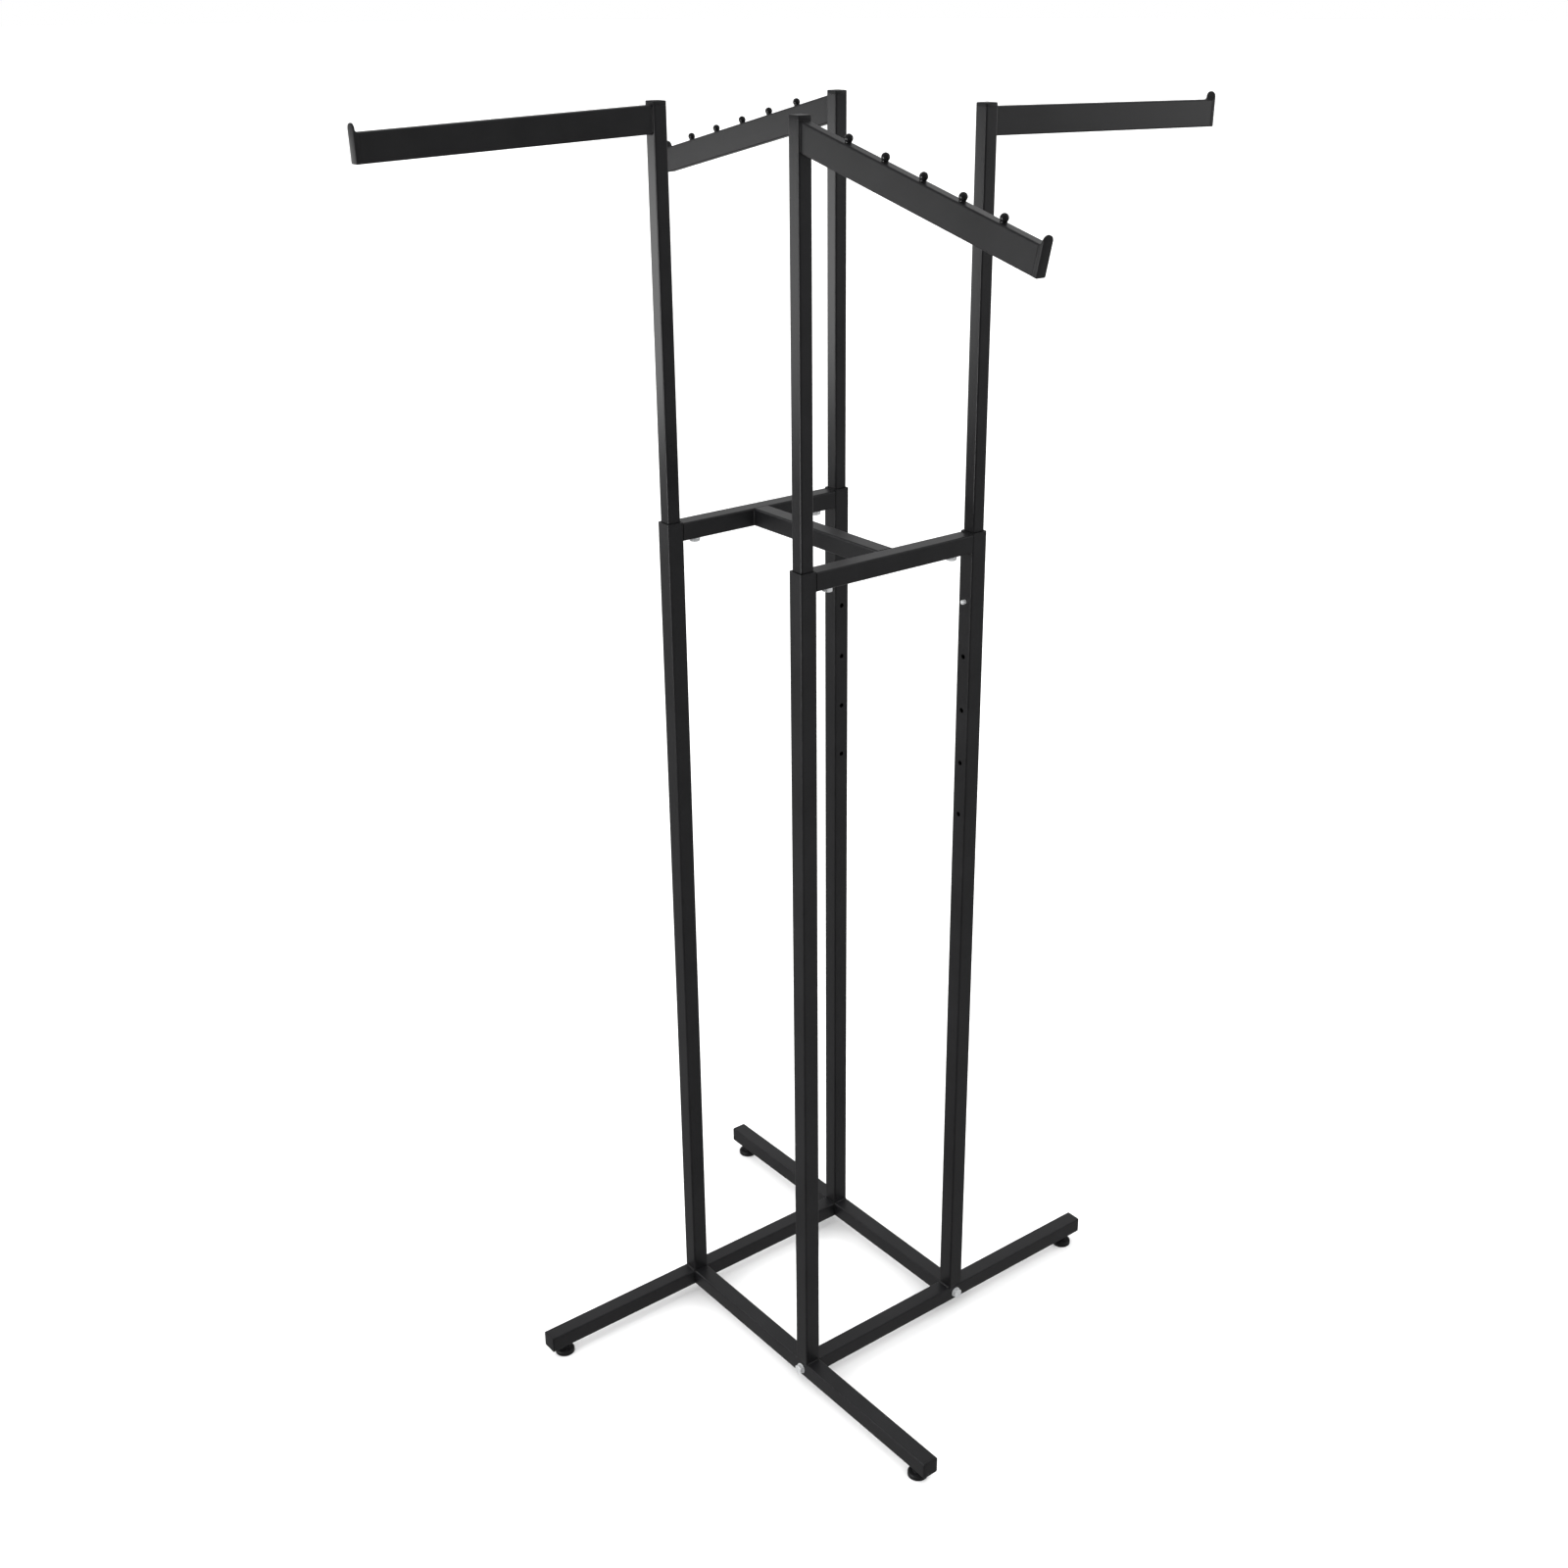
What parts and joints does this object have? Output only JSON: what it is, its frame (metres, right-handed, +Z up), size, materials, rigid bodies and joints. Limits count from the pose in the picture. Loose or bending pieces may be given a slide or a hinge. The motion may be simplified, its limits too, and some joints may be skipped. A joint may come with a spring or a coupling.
{
  "type": "four way clothing rack",
  "caption": "Free-standing black steel garment rack: four telescoping posts on a pinwheel base, with two straight and two slanted ball-studded arms.",
  "frame": {"origin": "on the floor, at the middle of the base, between the four posts", "axes": "+Z up; the straight arms point along -Y and +Y, the slanted arms along +X and -X"},
  "size_m": [1.107, 1.1252, 1.8288],
  "materials": {
    "black_powder_coat": "satin black powder coat",
    "black_plastic": "fine moulded texture",
    "zinc_plated_steel": "bright zinc plate",
    "spring_steel": "rolled spring steel"
  },
  "bodies": {
    "base_frame": {"base_bar_left": "black_powder_coat", "post_left": "black_powder_coat", "leg_cap_left": "black_plastic", "base_bar_front": "black_powder_coat", "post_front": "black_powder_coat", "leg_cap_front": "black_plastic", "base_bar_right": "black_powder_coat", "post_right": "black_powder_coat", "leg_cap_right": "black_plastic", "base_bar_back": "black_powder_coat", "post_back": "black_powder_coat", "leg_cap_back": "black_plastic", "base_end_plates": "black_powder_coat", "base_bolts": "zinc_plated_steel", "foot_nuts": "black_powder_coat", "crossbar_left": "black_powder_coat", "crossbar_right": "black_powder_coat", "centre_bar": "black_powder_coat", "crossbar_stubs": "black_powder_coat", "crossbar_bolts": "zinc_plated_steel", "crossbar_nuts": "black_powder_coat"},
    "sliding_upright_left": {"upright_left": "black_powder_coat", "upright_cap_left": "black_plastic", "button_clip_left": "spring_steel", "arm_left": "black_powder_coat", "arm_end_cap_left": "black_plastic"},
    "button_left": {"snap_button_left": "zinc_plated_steel"},
    "levelling_foot_left": {"foot_pad_left": "black_plastic", "foot_stud_left": "zinc_plated_steel"},
    "sliding_upright_front": {"upright_front": "black_powder_coat", "upright_cap_front": "black_plastic", "button_clip_front": "spring_steel", "arm_front": "black_powder_coat", "arm_end_cap_front": "black_plastic", "ball_studs_front": "black_powder_coat"},
    "button_front": {"snap_button_front": "zinc_plated_steel"},
    "levelling_foot_front": {"foot_pad_front": "black_plastic", "foot_stud_front": "zinc_plated_steel"},
    "sliding_upright_right": {"upright_right": "black_powder_coat", "upright_cap_right": "black_plastic", "button_clip_right": "spring_steel", "arm_right": "black_powder_coat", "arm_end_cap_right": "black_plastic"},
    "button_right": {"snap_button_right": "zinc_plated_steel"},
    "levelling_foot_right": {"foot_pad_right": "black_plastic", "foot_stud_right": "zinc_plated_steel"},
    "sliding_upright_back": {"upright_back": "black_powder_coat", "upright_cap_back": "black_plastic", "button_clip_back": "spring_steel", "arm_back": "black_powder_coat", "arm_end_cap_back": "black_plastic", "ball_studs_back": "black_powder_coat"},
    "button_back": {"snap_button_back": "zinc_plated_steel"},
    "levelling_foot_back": {"foot_pad_back": "black_plastic", "foot_stud_back": "zinc_plated_steel"}
  },
  "joints": [
    {"name": "height_left", "type": "slide", "parent": "base_frame", "child": "sliding_upright_left", "axis": [0, 0, 1], "range_m": [-0.3176, 0], "deforming": ["snap_button_left"]},
    {"name": "height_front", "type": "slide", "parent": "base_frame", "child": "sliding_upright_front", "axis": [0, 0, 1], "range_m": [-0.3176, 0], "deforming": ["snap_button_front"]},
    {"name": "height_right", "type": "slide", "parent": "base_frame", "child": "sliding_upright_right", "axis": [0, 0, 1], "range_m": [-0.3176, 0], "deforming": ["snap_button_right"]},
    {"name": "height_back", "type": "slide", "parent": "base_frame", "child": "sliding_upright_back", "axis": [0, 0, 1], "range_m": [-0.3176, 0], "deforming": ["snap_button_back"]},
    {"name": "button_press_left", "type": "slide", "parent": "sliding_upright_left", "child": "button_left", "axis": [0, -1, 0], "range_m": [0, 0.0079], "stiffness_N_per_m": 1200, "springref_m": -0.001, "deforming": ["button_clip_left"]},
    {"name": "button_press_front", "type": "slide", "parent": "sliding_upright_front", "child": "button_front", "axis": [1, 0, 0], "range_m": [0, 0.0079], "stiffness_N_per_m": 1200, "springref_m": -0.001, "deforming": ["button_clip_front"]},
    {"name": "button_press_right", "type": "slide", "parent": "sliding_upright_right", "child": "button_right", "axis": [0, 1, 0], "range_m": [0, 0.0079], "stiffness_N_per_m": 1200, "springref_m": -0.001, "deforming": ["button_clip_right"]},
    {"name": "button_press_back", "type": "slide", "parent": "sliding_upright_back", "child": "button_back", "axis": [-1, 0, 0], "range_m": [0, 0.0079], "stiffness_N_per_m": 1200, "springref_m": -0.001, "deforming": ["button_clip_back"]},
    {"name": "foot_height_left", "type": "slide", "parent": "base_frame", "child": "levelling_foot_left", "axis": [0, 0, 1], "range_m": [-0.01, 0.006]},
    {"name": "foot_height_front", "type": "slide", "parent": "base_frame", "child": "levelling_foot_front", "axis": [0, 0, 1], "range_m": [-0.01, 0.006]},
    {"name": "foot_height_right", "type": "slide", "parent": "base_frame", "child": "levelling_foot_right", "axis": [0, 0, 1], "range_m": [-0.01, 0.006]},
    {"name": "foot_height_back", "type": "slide", "parent": "base_frame", "child": "levelling_foot_back", "axis": [0, 0, 1], "range_m": [-0.01, 0.006]}
  ]
}
